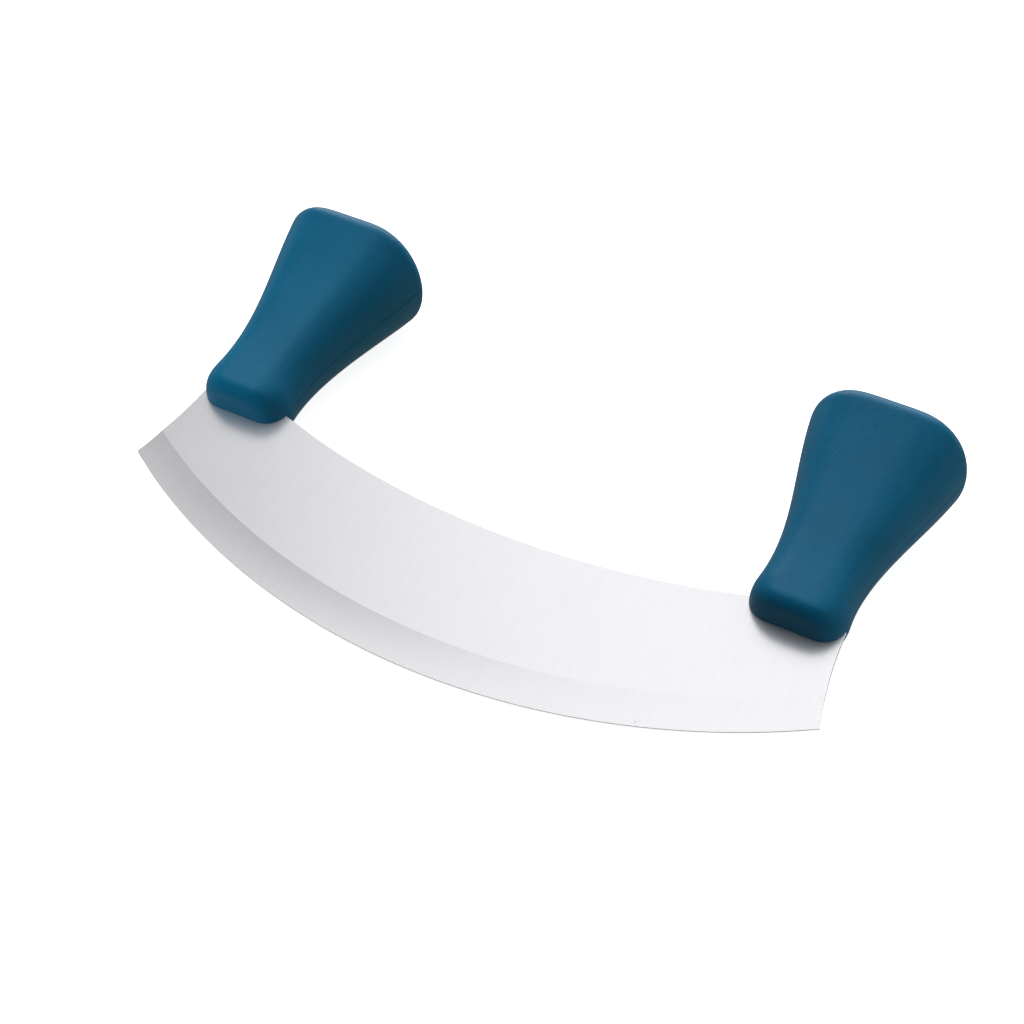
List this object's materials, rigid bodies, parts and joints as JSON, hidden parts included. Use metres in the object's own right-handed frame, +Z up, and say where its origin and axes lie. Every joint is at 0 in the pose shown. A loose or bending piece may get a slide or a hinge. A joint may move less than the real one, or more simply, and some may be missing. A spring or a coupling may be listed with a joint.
{
  "type": "mezzaluna",
  "caption": "Mezzaluna: crescent steel chopping blade with a hollow-ground edge and an upright two-shell plastic handle near each end, lying on its handles.",
  "frame": {"origin": "middle of the object's box, on the plane that it lies on: the backs of the two handles", "axes": "+X along the blade, towards the right handle; +Y from the cutting edge to the tops of the handles; +Z up, out of the blade's front, which leans 8 degrees"},
  "size_m": [0.2386, 0.1357, 0.0433],
  "materials": {
    "blade_steel": "satin, ground across the blade",
    "handle_plastic": "satin matte petrol blue",
    "pin_steel": "drawn"
  },
  "bodies": {
    "root": {"blade": "blade_steel", "left_handle_front_shell": "handle_plastic", "left_handle_rear_shell": "handle_plastic", "left_tang_pins": "pin_steel", "right_handle_front_shell": "handle_plastic", "right_handle_rear_shell": "handle_plastic", "right_tang_pins": "pin_steel"}
  },
  "joints": []
}
